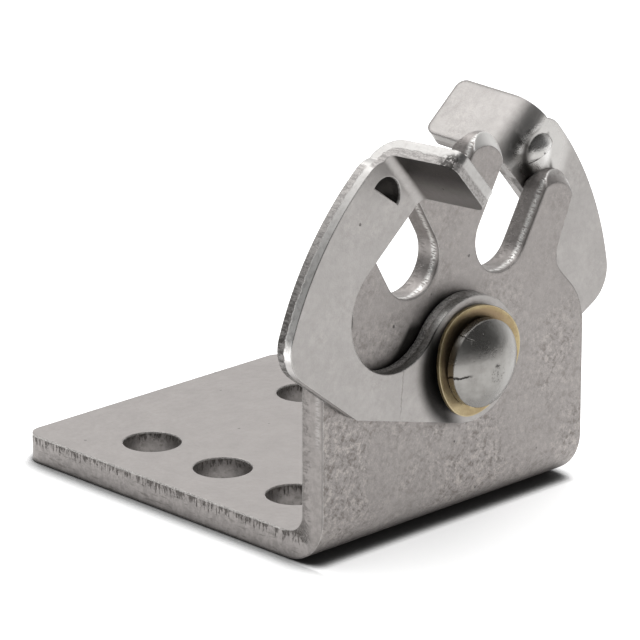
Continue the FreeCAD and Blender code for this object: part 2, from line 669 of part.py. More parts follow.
def build_rivet():
    """Shank with a domed head at each end, turned about Y."""
    body = new_body("pivot_rivet")
    stack = (size("latch_gap") + size("latch_plate") + 2 * size("seat_gap")
             + size("washer_plate") + washer_rise())
    head = size("head_radius")
    shank = size("shank") / 2
    dome = size("head_dome")
    sphere = (head ** 2 + dome ** 2) / (2 * dome)
    under_front = WALL_FRONT - stack
    under_rear = WALL_BACK + stack
    rim_front = under_front - size("head_land")
    rim_rear = under_rear + size("head_land")
    section = new_sketch(body, "rivet_section", "XY_Plane",
                         Placement(Vector(0, 0, size("pivot_height")), Rotation()))
    (front_cap, front_land, front_under, barrel, rear_under, rear_land, rear_cap, axis) = chain(section, [
        {"start": Vector(0, rim_front - dome, 0), "centre": Vector(0, rim_front - dome + sphere, 0),
         "turn": 1, "sharp": True},
        {"start": Vector(head, rim_front, 0), "sharp": True},
        {"start": Vector(head, under_front, 0), "sharp": True},
        {"start": Vector(shank, under_front, 0), "sharp": True},
        {"start": Vector(shank, under_rear, 0), "sharp": True},
        {"start": Vector(head, under_rear, 0), "sharp": True},
        {"start": Vector(head, rim_rear, 0), "centre": Vector(0, rim_rear + dome - sphere, 0),
         "turn": 1, "sharp": True},
        {"start": Vector(0, rim_rear + dome, 0), "sharp": True},
    ])
    straighten(section, (front_under, rear_under), (front_land, barrel, rear_land))
    for point in ((front_cap, 1), (front_cap, 3), (rear_cap, 2), (rear_cap, 3)):
        section.addConstraint(Sketcher.Constraint("PointOnObject", *point, -2))
    bind(section, "head", "Sizes.head_radius", "DistanceX", *ORIGIN, front_land, 1, head)
    bind(section, "rear_head", "Sizes.head_radius", "DistanceX", *ORIGIN, rear_land, 1, head)
    bind(section, "shank", "Sizes.shank / 2", "DistanceX", *ORIGIN, barrel, 1, shank)
    bind(section, "land", "Sizes.head_land", "DistanceY", front_land, 1, front_land, 2, size("head_land"))
    bind(section, "rear_land", "Sizes.head_land", "DistanceY", rear_land, 1, rear_land, 2,
         size("head_land"))
    bind(section, "dome", "Sizes.head_dome", "DistanceY", front_cap, 1, front_land, 1, dome)
    bind(section, "rear_dome", "Sizes.head_dome", "DistanceY", rear_land, 2, rear_cap, 2, dome)
    section.addConstraint(Sketcher.Constraint("DistanceY", *ORIGIN, barrel, 1, under_front))
    bind(section, "grip", "Sizes.plate + 2 * (Sizes.latch_gap + Sizes.latch_plate + 2 * Sizes.seat_gap"
         " + Sizes.washer_plate + Sizes.washer_bow * (Sizes.head_radius / Sizes.washer_radius) ^ 2)",
         "DistanceY", barrel, 1, barrel, 2, under_rear - under_front)
    add_turned(body, section, "rivet", "Revolution", 360, "V_Axis")
    return body


def add_cylinder(name, radius_from, height, start, along):
    """Cylinder that starts at a point and runs along a direction, radius from the sheet."""
    cylinder = doc.addObject("Part::Cylinder", name)
    cylinder.setExpression("Radius", radius_from)
    cylinder.Height = height
    cylinder.Placement = Placement(start, Rotation(Vector(0, 0, 1), along))
    return cylinder


def add_boolean(kind, name, base, tool):
    result = doc.addObject("Part::" + kind, name)
    result.Base = base
    result.Tool = tool
    return result


def build_washer(label, latch_face, side):
    """Round washer bowed about one diameter; its raised sides face the rivet's head."""
    radius = size("washer_radius")
    turn = size("washer_turn")
    outward = Vector(0, side, 0)
    valley = Vector(-sin(turn), 0, cos(turn))
    foot = Vector(0, latch_face + side * size("seat_gap"), size("pivot_height"))
    bend = (radius ** 2 + size("washer_bow") ** 2) / (2 * size("washer_bow"))
    bend_from = "(Sizes.washer_radius ^ 2 + Sizes.washer_bow ^ 2) / (2 * Sizes.washer_bow)"
    centre = foot + outward * bend
    below = foot - outward * size("washer_plate")
    rim = add_cylinder(label + "_rim", "Sizes.washer_radius", bend, below, outward)
    bore = add_cylinder(label + "_bore", "Sizes.washer_bore / 2", bend, below, outward)
    edge = centre - valley * (2 * radius)
    outer = add_cylinder(label + "_bow_outer", bend_from, 4 * radius, edge, valley)
    inner = add_cylinder(label + "_bow_inner", bend_from + " - Sizes.washer_plate", 4 * radius,
                         edge, valley)
    blank = add_boolean("Cut", label + "_blank", rim, bore)
    shell = add_boolean("Cut", label + "_shell", outer, inner)
    washer = add_boolean("Common", label, shell, blank)
    washer.Label = label
    return washer


bracket = build_bracket()
front_latch = build_latch("front_latch", 0, -size("front_open"), WALL_FRONT - size("latch_gap"))
rear_latch = build_latch("rear_latch", 180, size("rear_open"), WALL_BACK + size("latch_gap"))
pivot_rivet = build_rivet()
LATCH_DEPTH = size("latch_gap") + size("latch_plate")
front_washer = build_washer("front_spring_washer", WALL_FRONT - LATCH_DEPTH, -1)
rear_washer = build_washer("rear_spring_washer", WALL_BACK + LATCH_DEPTH, 1)
doc.recompute()

for item in doc.Objects:
    if "Invalid" in item.State or "Error" in item.State:
        raise RuntimeError("%s failed: %s" % (item.Name, item.State))

os.makedirs("parts", exist_ok=True)
for node in (bracket, front_latch, rear_latch, pivot_rivet, front_washer, rear_washer):
    shape = node.Shape
    if shape.isNull() or not shape.isValid() or len(shape.Solids) != 1:
        raise RuntimeError("%s is not one valid solid" % node.Label)
    shape.exportStep(os.path.join("parts", node.Label + ".step"))
    print("%-22s %9.2f mm3" % (node.Label, shape.Volume))
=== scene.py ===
import math

import bpy
from mathutils import Matrix, Vector

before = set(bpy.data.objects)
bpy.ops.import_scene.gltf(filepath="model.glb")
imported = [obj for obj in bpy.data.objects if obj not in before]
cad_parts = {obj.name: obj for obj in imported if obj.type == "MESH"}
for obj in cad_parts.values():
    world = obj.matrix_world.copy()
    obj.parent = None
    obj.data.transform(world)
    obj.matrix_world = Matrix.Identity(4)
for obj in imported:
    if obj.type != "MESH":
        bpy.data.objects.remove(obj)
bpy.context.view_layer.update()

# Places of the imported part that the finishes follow, in metres.
PLATE = 0.003
LEFT_SIDE = -0.0191
WALL_FRONT = -0.0231
FOLD_START = WALL_FRONT + PLATE + 0.0023
FOLD_BACK = -0.0160
FOLD_TOP = 0.0075
CROWN = 0.0345
PIVOT = (0.0, 0.01865)
HEAD_MIDDLE = (0.0002, 0.0178)

LATCH_PLATE = 0.002
LATCH_GAP = 0.0002
FRONT_LATCH_FACE = WALL_FRONT - LATCH_GAP
REAR_LATCH_FACE = WALL_FRONT + PLATE + LATCH_GAP
FRONT_SWING = 40.3
REAR_SWING = FRONT_SWING + 9.5
FRONT_BUMP = (-0.0125, 0.0387)
REAR_BUMP = (0.01564, 0.03633)
BUMP_RADIUS = 0.0024

# The latch's notch is a bowl whose rim turns over into the round boss.
NOTCH_MIDDLE = (-0.0108, 0.02615)
RIM_MIDDLE = (-0.0056, 0.02255)

# The latch's arm is folded into a tab that leans by TAB_LEAN metres in each metre.
ARM_END = 0.0055
BEND_OUTER = 0.003
TAB_LEAN = 0.066
TAB_TIP = LATCH_PLATE + 0.0068
TAB_CORNER = (-0.0118, 0.0418)
TORN_CORNER = (-0.0118, 0.0440)
TORN_DEPTH = 0.0098

# Scratches and cracks, each from one (x, z) place to another.
WORN_LINE = ((-0.0099, 0.0197), (-0.0104, 0.0142))
WORN_WIDTH = 0.00010
UPPER_CRACK = ((-0.0042, 0.0231), (-0.0022, 0.0215))
LOWER_CRACK = ((-0.0046, 0.0181), (-0.0029, 0.0183))
CRACK_WIDTH = 0.00013

# Tones of the clean metals.
STEEL = (0.328, 0.307, 0.296)
LATCH_STEEL = (0.406, 0.388, 0.376)
HEAD_DARK, HEAD_LIGHT = (0.232, 0.223, 0.211), (0.312, 0.303, 0.288)
BRASS_DARK, BRASS_LIGHT = (0.295, 0.226, 0.123), (0.40, 0.324, 0.186)
BRASS_BROWN = (0.24, 0.17, 0.11)
BRASS_SPECK = (0.20, 0.15, 0.08)
# Painted highlight along the washers' edges.
BRASS_EDGE_HIGHLIGHT = (0.68, 0.59, 0.40)

# Tones of painted shadow, shade and dark reflection, and of dirt, cracks, pits and stains, from
# darkest to lightest.
WASHER_SHADOW = (0.012, 0.011, 0.010)
WALL_SHADOW = (0.018, 0.016, 0.014)
CRACK = (0.02, 0.018, 0.016)
TAB_SHADE = (0.022, 0.018, 0.016)
HOLLOW_SHADE = (0.022, 0.019, 0.017)
BUMP_SHADOW = (0.03, 0.027, 0.025)
TORN_GRIME = (0.03, 0.028, 0.026)
DARK_REFLECTION = (0.06, 0.055, 0.050)
EDGE_SHADE = (0.07, 0.066, 0.062)
TORN_STEEL = (0.085, 0.076, 0.068)
TORN_LATCH = (0.085, 0.08, 0.075)
PIT = (0.10, 0.095, 0.09)
NICK = (0.12, 0.11, 0.10)
EDGE_STAIN = (0.14, 0.13, 0.12)
WALL_EDGE_STAIN = (0.16, 0.145, 0.135)
WORN_LINE_SHADE = (0.16, 0.15, 0.14)

# Tones of freshly bared metal, from dull to bright, among them a painted shade for shorn edges facing
# up and painted highlights on the half-dome and the coined crescents.
UPWARD_SHORN_SHADE = (0.43, 0.42, 0.408)
PRESSED_BARE = (0.46, 0.45, 0.435)
WORN_BARE = (0.64, 0.63, 0.61)
BURR_BARE = (0.66, 0.64, 0.62)
DOME_HIGHLIGHT = (0.72, 0.71, 0.70)
SHORN_BARE = (0.74, 0.73, 0.71)
RIM_BARE = (0.75, 0.74, 0.72)
COINED_POLISH_HIGHLIGHT = (0.84, 0.83, 0.81)
LATCH_BARE = (0.86, 0.85, 0.83)

# Height of the bumps in the surface, and radius that the edges seem to have.
STEEL_RELIEF, BRASS_RELIEF = 0.00003, 0.00002
BRACKET_EDGES, LATCH_EDGES, HEAD_EDGES, BRASS_EDGES = 0.00035, 0.00018, 0.00022, 0.00012


def shade(tone, by):
    """A tone times one number, or times three, one for each colour."""
    factors = by if isinstance(by, tuple) else (by, by, by)
    return tuple(part * factor for part, factor in zip(tone, factors))


class Value:
    """A shader socket that adds its Math nodes when it is used in an expression."""

    def __init__(self, finish, socket):
        self.finish = finish
        self.socket = socket

    def math(self, operation, first, second=0.0, clamp=False):
        return self.finish.node("ShaderNodeMath", {"operation": operation, "use_clamp": clamp},
                                {0: first, 1: second})

    def __add__(self, other):
        return self.math("ADD", self, other)

    def __sub__(self, other):
        return self.math("SUBTRACT", self, other)

    def __mul__(self, other):
        return self.math("MULTIPLY", self, other)

    def __truediv__(self, other):
        return self.math("DIVIDE", self, other)

    def __radd__(self, other):
        return self.math("ADD", other, self)

    def __rsub__(self, other):
        return self.math("SUBTRACT", other, self)

    def __rmul__(self, other):
        return self.math("MULTIPLY", other, self)

    def __rtruediv__(self, other):
        return self.math("DIVIDE", other, self)

    def __pow__(self, other):
        return self.math("POWER", self, other)

    def __abs__(self):
        return self.math("ABSOLUTE", self)

    def least(self, other):
        return self.math("MINIMUM", self, other)

    def most(self, other):
        return self.math("MAXIMUM", self, other)

    def held(self):
        """The value kept between 0 and 1."""
        return self.math("ADD", self, 0.0, clamp=True)

    def between(self, low, high):
        """0 below low, 1 above high, a smooth step in the middle; falls if low > high."""
        return self.finish.node("ShaderNodeMapRange", {"interpolation_type": "SMOOTHSTEP"},
                                {"Value": self, "From Min": low, "From Max": high})

    def near(self, centre, reach):
        """1 at centre, fading smoothly to 0 at reach on both sides."""
        return abs(self - centre).between(reach, 0.0)


class Finish:
    """A material with a Principled surface, built node by node."""

    def __init__(self, name, **constants):
        self.material = bpy.data.materials.new(name)
        self.material.use_nodes = True
        self.tree = self.material.node_tree
        self.shader = self.tree.nodes["Principled BSDF"]
        for socket, value in constants.items():
            self.shader.inputs[socket.replace("_", " ")].default_value = value
        self.place = self.node("ShaderNodeTexCoord", {}, {}, "Object")
        self.facing = self.node("ShaderNodeTexCoord", {}, {}, "Normal")

    def node(self, kind, settings, sockets, output=0):
        """Adds a node; settings are set first, then each socket gets a value or a link."""
        made = self.tree.nodes.new(kind)
        for name, value in settings.items():
            setattr(made, name, value)
        for name, value in sockets.items():
            if isinstance(value, Value):
                self.tree.links.new(value.socket, made.inputs[name])
            else:
                made.inputs[name].default_value = value
        return Value(self, made.outputs[output])

    def parts(self, vector):
        """The three numbers of a vector."""
        split = self.node("ShaderNodeSeparateXYZ", {}, {0: vector}).socket.node
        return [Value(self, socket) for socket in split.outputs]

    def away_from(self, place):
        """Distance from an (x, z) place, seen square to the wall."""
        x, _, z = self.parts(self.place)
        return ((x - place[0]) ** 2.0 + (z - place[1]) ** 2.0) ** 0.5

    def drawn_out(self, stretch, turn=0.0):
        """Object coordinates turned back by degrees about Y, then stretched along each axis."""
        return self.node("ShaderNodeMapping", {"vector_type": "TEXTURE"}, {
            "Vector": self.place, "Rotation": (0.0, math.radians(turn), 0.0), "Scale": stretch})

    def noise(self, per_metre, detail=3.0, rough=0.55, where=None, warp=0.0):
        return self.node("ShaderNodeTexNoise", {}, {
            "Vector": where or self.place, "Scale": per_metre, "Detail": detail,
            "Roughness": rough, "Distortion": warp})

    def cells(self, per_metre, output="Distance"):
        return self.node("ShaderNodeTexVoronoi", {},
                         {"Vector": self.place, "Scale": per_metre}, output)

    def blend(self, factor, low, high):
        """A colour between low and high."""
        low, high = (end if isinstance(end, Value) else (*end, 1.0) for end in (low, high))
        return self.node("ShaderNodeMix", {"data_type": "RGBA"},
                         {0: factor, 6: low, 7: high}, 2)

    def line(self, start, end, width):
        """1 on a wavering line between two (x, z) places of the face, 0 beside it."""
        x, _, z = self.parts(self.place)
        wave = (self.noise(1500, 2.0, 0.6) - 0.5) * width * 5.0
        run = (end[0] - start[0], end[1] - start[1])
        length = math.hypot(*run)
        run = (run[0] / length, run[1] / length)
        along = (x - start[0]) * run[0] + (z - start[1]) * run[1]
        across = (x - start[0]) * run[1] - (z - start[1]) * run[0] + wave
        ends = along.between(-width, 0.0) * along.between(length + width, length * 0.6)
        return abs(across).between(width, width * 0.35) * ends

    def rounded(self, radius):
        """Normal of the surface as if its edges were rounded off."""
        return self.node("ShaderNodeBevel", {"samples": 6}, {"Radius": radius})

    def edge_mask(self, radius):
        """1 on sharp edges, 0 on flat faces further away than the radius."""
        soft = self.rounded(radius)
        true = self.node("ShaderNodeNewGeometry", {}, {}, "True Normal")
        agree = self.node("ShaderNodeVectorMath", {"operation": "DOT_PRODUCT"},
                          {0: soft, 1: true}, "Value")
        return (1 - agree).between(0.02, 0.25)

    def link(self, **values):
        """Links values to the shader's sockets of those names."""
        for socket, value in values.items():
            self.tree.links.new(value.socket, self.shader.inputs[socket.replace("_", " ")])

    def finish(self, colour, roughness, relief, depth, edges):
        """Links the surface: relief is in units of depth, edges is the radius they seem to have."""
        normal = self.node("ShaderNodeBump", {}, {
            "Height": relief, "Distance": depth, "Strength": 1.0, "Normal": self.rounded(edges)})
        self.link(Base_Color=colour, Roughness=roughness.held(), Normal=normal)
        return self.material


def sheet_steel(name, tone, edges, scuffed, punched, polish_and_painted_shade):
    """Tumbled stainless sheet: dull mottled faces, fine crossed scuffs, pits, punched edges.

    scuffed says how worn each place is, punched gives the mask, colour, roughness and
    relief of the cut edges, some of that colour painted shade, and polished changes colour,
    roughness and relief where the sheet was pressed smooth, and paints shadow, shade,
    reflections and highlights onto it.
    """
    steel = Finish(name, Metallic=1.0)
    cloud = steel.noise(330, 3.0, 0.6)
    patch = steel.noise(1300, 3.0, 0.65)
    grain = steel.noise(5600, 2.0, 0.6)
    few = steel.parts(steel.cells(560, output="Color"))[0].between(0.86, 0.88)
    pits = steel.cells(560).between(0.12, 0.06) * few
    hatch = steel.noise(4200, 2.0, 0.6, where=steel.drawn_out((1, 1, 5), turn=38))
    cross = steel.noise(4200, 2.0, 0.6, where=steel.drawn_out((1, 1, 5), turn=-52))
    worn_here = scuffed(steel) * (0.45 + steel.noise(140, 2.0, 0.5).between(0.38, 0.62) * 0.75)
    scuffs = hatch.between(0.54, 0.68).most(cross.between(0.56, 0.70)) * worn_here
    blotch = steel.noise(1250, 6.0, 0.80)
    stain = (blotch + hatch * 0.2 + cross * 0.2).between(0.70, 0.56) * worn_here
    bare = (blotch + grain * 0.3).between(0.66, 0.78) * worn_here
    face = steel.blend(cloud.between(0.3, 0.7), shade(tone, 0.95), shade(tone, 1.05))
    face = steel.blend(patch.between(0.30, 0.75) * 0.38, face, shade(tone, 0.84))
    face = steel.blend(grain.between(0.35, 0.65) * 0.25, face, shade(tone, 1.14))
    face = steel.blend(stain * 0.68, face, shade(tone, (0.62, 0.58, 0.54)))
    face = steel.blend(bare * 0.85, face, shade(tone, (1.36, 1.34, 1.30)))
    face = steel.blend(scuffs * 0.30, face, shade(tone, 1.30))
    face = steel.blend(pits * 0.7, face, PIT)
    cut, edge, edge_rough, edge_relief = punched(steel, tone)
    colour = steel.blend(cut, face, edge)
    worn = steel.edge_mask(0.00020)
    colour = steel.blend(worn * 0.40, colour, WORN_BARE)
    roughness = 0.42 + patch * 0.10 + grain * 0.08
    roughness = roughness + cut * (edge_rough - roughness) - worn * 0.10
    relief = patch * 0.4 + grain * 0.5 - pits * 1.5 - scuffs * 0.25 - stain * 0.5
    relief = relief + cut * (edge_relief - relief)
    colour, roughness, relief = polish_and_painted_shade(steel, colour, roughness, relief)
    return steel.finish(colour, roughness, relief, STEEL_RELIEF, edges)


def on_the_wall(steel):
    """0 on the bracket's base, 1 on its wall, changing along the fold's diagonal."""
    _, y, z = steel.parts(steel.place)
    return (z - y).between(0.0225, 0.0255)


def bracket_edge(steel, tone):
    """Cut edges of the bracket.

    depth runs from 0 on the outer face, which is the wall's front and the base's underside,
    to 1 on the inner face. The steel is torn next to the inner face, with a bright burr on
    the base, and a bright shorn strip runs beside the wall's front.
    """
    nx, ny, nz = steel.parts(steel.facing)
    x, y, z = steel.parts(steel.place)
    sideways = abs(nx).between(0.35, 0.6)
    on_wall = (z - FOLD_TOP).between(0.0, 0.0005) * abs(ny).between(0.75, 0.6)
    on_base = (y - FOLD_BACK).between(0.0, 0.0005) * abs(nz).between(0.75, 0.6)
    cut = sideways.most(on_wall).most(on_base)
    wall_part = on_the_wall(steel)
    depth = ((y - WALL_FRONT) / PLATE).most(0.0).least((z / PLATE).most(0.0)).held()
    pressed = steel.blend(wall_part, steel.drawn_out((1, 1, 4)), steel.drawn_out((1, 4, 1)))
    lengthwise = steel.noise(2400, 3.0, 0.65, where=steel.drawn_out((1, 5, 1)))
    streak = steel.noise(3600, 3.0, 0.7, where=pressed)
    ribs = steel.noise(5200, 2.0, 0.6, where=pressed)
    speck = steel.noise(4200, 2.0, 0.7)
    mottle = steel.noise(1500, 3.0, 0.65)
    edge = steel.blend(mottle.between(0.35, 0.65), shade(tone, 0.80), shade(tone, 1.02))
    edge = steel.blend(wall_part * 0.25, edge, WALL_EDGE_STAIN)
    edge = steel.blend(lengthwise.between(0.56, 0.66) * (1 - wall_part) * 0.5, edge, EDGE_STAIN)
    torn = (streak + (depth - 0.85) * 0.45).between(0.46, 0.58) * depth.between(0.46, 0.70)
    torn = torn * (1 - wall_part * 0.65) * speck.between(0.30, 0.52)
    edge = steel.blend(torn * 0.75, edge, TORN_STEEL)
    burr = depth.between(0.91, 0.96) * speck.between(0.30, 0.50)
    burr = burr * (y - FOLD_START).between(0.0, 0.0006)
    edge = steel.blend(burr * 0.85, edge, BURR_BARE)
    outer_side = (x - LEFT_SIDE).between(0.0006, 0.0003)
    shorn = depth.near(0.26, 0.18) * (z - 0.012).between(0.0, 0.002) * ribs.between(0.36, 0.54)
    shorn = shorn * (1 - outer_side * 0.8)
    edge = steel.blend(shorn * 0.95, edge, SHORN_BARE)
    # Painted shade: the wall's cut edges are darker where they roll over onto its front face.
    rolled = depth.between(0.11, 0.03) * wall_part
    edge = steel.blend(rolled * 0.5, edge, shade(tone, 0.45))
    rough = 0.44 + torn * 0.15 - shorn * 0.10
    relief = streak * 0.6 + mottle * 0.6 - torn * 2.2 + shorn * 0.8
    return cut, edge, rough, relief


def latch_edge(face, side, swing):
    """Cut edges of a latch: torn next to the wall, shorn bright on the outer side.

    On the folded tab the shorn strip lies on the side away from the pivot. face is the Y
    of the sheet's face next to the wall, side is 1 where its outer side lies towards -Y,
    and swing is the angle of the arm in degrees.
    """
    lean = (side * math.cos(math.radians(swing)), math.sin(math.radians(swing)))

    def punched(steel, tone):
        nx, ny, nz = steel.parts(steel.facing)
        x, y, z = steel.parts(steel.place)
        along = x * lean[0] + (z - PIVOT[1]) * lean[1]
        aside = nx * (side * lean[1]) - nz * (side * lean[0])
        from_face = (y - face) * -side
        tab = along.between(ARM_END, ARM_END + 0.0004)
        near_tab = along.between(ARM_END - 0.0025, ARM_END)
        tip = from_face.between(TAB_TIP - 0.0004, TAB_TIP) * abs(ny).between(0.6, 0.75)
        cut = (1 - tab) * abs(ny).between(0.75, 0.6) + tab * abs(aside).between(0.55, 0.7).most(tip)
        lag = (BEND_OUTER - from_face).most(0.0)
        run = (along - ARM_END - (from_face - BEND_OUTER).most(0.0) * TAB_LEAN).most(0.0)
        across = ((run * run + lag * lag) ** 0.5 - (BEND_OUTER - LATCH_PLATE)) / LATCH_PLATE
        depth = (1 - from_face / LATCH_PLATE) * (1 - near_tab) + (1 - across) * near_tab
        ribs = steel.noise(3400, 3.0, 0.7, where=steel.drawn_out((1, 5, 1)))
        speck = steel.noise(4600, 2.0, 0.7)
        mottle = steel.noise(1500, 3.0, 0.65)
        # Painted light and shade: the edge's colours change with the way it faces. Where it faces up
        # or runs round the tab's bend, the torn steel is lighter and the shorn strip duller. Where it
        # faces down, the shorn strip is darker.
        upward_or_bend = nz.between(0.25, 0.75).most(near_tab)
        heel = nz.between(-0.05, -0.30)
        dark = steel.blend(upward_or_bend, TORN_LATCH, shade(tone, 0.75))
        light = steel.blend(upward_or_bend, shade(tone, 0.62), shade(tone, 1.10))
        broken = steel.blend((ribs * 0.7 + speck * 0.3).between(0.42, 0.58), dark, light)
        bright = steel.blend(heel * 0.85, LATCH_BARE, shade(tone, 0.80))
        bright = steel.blend(upward_or_bend, bright, UPWARD_SHORN_SHADE)
        shorn = steel.blend(mottle.between(0.45, 0.68) * 0.5, bright, shade(tone, 0.85))
        torn = (depth + (ribs - 0.5) * 0.35).between(0.48, 0.56)
        edge = steel.blend(torn, shorn, broken)
        inner_rim = steel.away_from(PIVOT).between(0.0160, 0.0130) * nz.between(0.0, 0.4)
        edge = steel.blend(inner_rim * speck.between(0.40, 0.60) * 0.55, edge, RIM_BARE)
        # Painted shade: a dark line along the cut edge where it meets the latch's outer face.
        lip = depth.between(0.09, 0.02) * (1 - near_tab)
        edge = steel.blend(lip * 0.6, edge, EDGE_SHADE)
        rough = 0.34 + torn * 0.22
        relief = ribs * 0.5 + torn * (speck * 1.5 - 1.4)
        return cut.held(), edge, rough, relief
    return punched


def wall_scuffs(steel):
    """Most scuffs lie on the lower half of the wall and round the fold, few elsewhere."""
    _, y, z = steel.parts(steel.place)
    drift = steel.noise(160, 2.0, 0.5) * 0.008
    low = (z + drift - 0.024).between(0.006, -0.010) * (y + 0.0200).between(0.0, -0.0006)
    return (0.03 + on_the_wall(steel) * 0.42 + low * 0.60).held()


def even_scuffs(steel):
    return steel.noise(200, 2.0, 0.5).between(0.35, 0.65) * 0.25


def wall_shadow_and_crescents(steel, colour, roughness, relief):
    """A shadow is painted on the wall round the front latch's boss and just inside its notch.

    The coined crescents on the tips of the fingers are smoother, and painted bright, partly their
    polish and partly a painted highlight.
    """
    _, ny, _ = steel.parts(steel.facing)
    x, y, z = steel.parts(steel.place)
    up = z - PIVOT[1]
    beside = steel.away_from(PIVOT).between(0.0086, 0.0066)
    beside = beside * (x + up * 0.4).between(0.0045, -0.0005)
    notch = steel.away_from(NOTCH_MIDDLE)
    turned_over = steel.away_from(RIM_MIDDLE).between(0.0060, 0.0) * 0.0016
    in_notch = (notch + turned_over).between(0.0054, 0.0066) * notch.between(0.0080, 0.0066)
    in_notch = in_notch * (NOTCH_MIDDLE[1] - z).between(0.0016, 0.0034)
    in_notch = in_notch * (x - NOTCH_MIDDLE[0]).between(-0.0035, 0.0005)
    # Painted shadow on the wall beside the latch's boss and just inside its notch.
    painted_shadow = beside.most(in_notch) * (y - WALL_FRONT).between(0.0003, 0.0)
    painted_shadow = painted_shadow * painted_shadow * abs(ny).between(0.8, 0.95)
    colour = steel.blend(painted_shadow * 0.93, colour, WALL_SHADOW)
    # Coined crescents: smoother, and painted bright, partly their polish and partly a painted
    # highlight.
    coined = (z - CROWN).between(0.0, 0.001) * abs(ny).near(0.62, 0.30)
    colour = steel.blend(coined * 0.9, colour, COINED_POLISH_HIGHLIGHT)
    return colour, roughness - coined * 0.04, relief * (1 - coined * 0.8)


def worn_and_shaded_arm(bump, face, side, swing, bright):
    """What the press and years of use left on a latch's arm, tab and boss, and the shadow, shade,
    reflections and highlight painted onto them.

    bright is 1 on the open latch: a pressed-smooth patch with painted dark reflections in waves,
    a painted highlight on the half-dome on the side that touches the wall, a painted shadow
    round the dome, and a painted shade along the tab's edges. It is 0 on the closed one:
    painted shade on the tab's inner face and a torn corner. Both have painted shade in the
    hollow behind the bump, a worn line and a painted shadow round the boss. face, side and
    swing are as for latch_edge.
    """
    lean = (side * math.cos(math.radians(swing)), math.sin(math.radians(swing)))

    def polish_and_painted_shade(steel, colour, roughness, relief):
        nx, _, nz = steel.parts(steel.facing)
        x, y, z = steel.parts(steel.place)
        inside = (face - y) * side
        on_tab = inside.between(0.0024, 0.0030)
        wall_side = inside.between(0.0004, 0.0002)

        reach = steel.away_from(bump)
        beyond = (x - bump[0]) * 0.82 + (z - bump[1]) * 0.57
        swell = steel.noise(420, 1.0, 0.5)
        smooth = (reach + swell * 0.002).between(0.0062, 0.0040) * bright
        colour = steel.blend(smooth * 0.8, colour, PRESSED_BARE)
        # Painted reflections: dark wavy swaths on the smooth patch round the bump.
        waves = (steel.noise(430, 2.0, 0.5, warp=0.6) - beyond * 60).between(0.47, 0.60)
        waves = waves * smooth * reach.between(0.0014, BUMP_RADIUS)
        colour = steel.blend(waves * 0.8, colour, DARK_REFLECTION)
        # Painted highlight on one side of the half-dome's top.
        dome = reach.between(0.0019, 0.0012) * (beyond + swell * 0.001).between(0.0, 0.0012)
        colour = steel.blend(dome * wall_side * bright * 0.7, colour, DOME_HIGHLIGHT)
        # Painted shadow round the half-dome, on the side away from its highlight.
        bump_shade = reach.near(BUMP_RADIUS, 0.0009) * beyond.between(0.0010, -0.0012)
        colour = steel.blend(bump_shade * wall_side * bright * 0.95, colour, BUMP_SHADOW)
        # Painted shade in the hollow behind the bump.
        hollow = reach.between(BUMP_RADIUS, 0.0021) * inside.between(0.0019, 0.0017)
        colour = steel.blend(hollow * inside.between(0.0003, 0.0005) * 0.95, colour, HOLLOW_SHADE)

        # Painted shade on the inner face of the closed latch's tab, darkest towards its corner.
        under = (nx * lean[0] + nz * lean[1]).between(-0.60, -0.85) * on_tab * (1 - bright)
        tab_shade_depth = 0.40 + steel.away_from(TAB_CORNER).between(0.0050, 0.0010) * 0.50
        colour = steel.blend(under * tab_shade_depth, colour, TAB_SHADE)
        # Painted shade along the edges of the open latch's tab.
        outline = steel.edge_mask(0.0008) * inside.between(0.0015, 0.0026) * bright
        colour = steel.blend(outline * 0.85, colour, EDGE_SHADE)
        corner = abs(x - TORN_CORNER[0]) + abs(z - TORN_CORNER[1]) + abs(inside - TORN_DEPTH) * 0.7
        torn = corner.between(0.0022, 0.0012) * steel.noise(1800, 3.0, 0.7).between(0.42, 0.52)
        colour = steel.blend(torn * (1 - bright) * 0.85, colour, TORN_GRIME)

        worn_line = steel.line(*((along * side, up) for along, up in WORN_LINE), WORN_WIDTH)
        colour = steel.blend(worn_line * 0.45, colour, WORN_LINE_SHADE)
        # Painted shadow: a dark crescent on the latch's face beside the washer.
        painted_shadow = steel.away_from(PIVOT).between(0.0084, 0.0066) * inside.between(0.0017, 0.0019)
        beside = (x * side + (z - PIVOT[1]) * 0.25).between(-0.0020, -0.0052)
        colour = steel.blend(painted_shadow * beside * 0.95, colour, WASHER_SHADOW)
        return colour, roughness - smooth * 0.26, relief + smooth * swell * 3.0
    return polish_and_painted_shade


def head_steel(name):
    """Cold-formed rivet: smooth and cloudy, nicked in the middle, its rim cracked in front."""
    steel = Finish(name, Metallic=1.0)
    cloud = steel.noise(420, 3.0, 0.6)
    fine = steel.noise(5000, 2.0, 0.6)
    pits = steel.cells(1700).between(0.10, 0.03)
    _, y, _ = steel.parts(steel.place)
    front = (y - WALL_FRONT).between(0.0, -0.001)
    cracks = steel.line(*UPPER_CRACK, CRACK_WIDTH).most(steel.line(*LOWER_CRACK, CRACK_WIDTH)) * front
    rough_spot = steel.away_from(HEAD_MIDDLE).between(0.0013, 0.0006) * front
    nicks = steel.cells(3600).between(0.36, 0.20) * rough_spot
    colour = steel.blend(cloud.between(0.35, 0.7), HEAD_DARK, HEAD_LIGHT)
    colour = steel.blend((pits * 0.4).most(nicks * 0.7), colour, NICK)
    colour = steel.blend(cracks * 0.9, colour, CRACK)
    roughness = 0.20 + cloud * 0.12 + fine * 0.05 + rough_spot * 0.1
    relief = fine * 0.5 + cloud - pits - nicks * 1.5 - cracks * 3.0
    return steel.finish(colour, roughness, relief, STEEL_RELIEF, HEAD_EDGES)


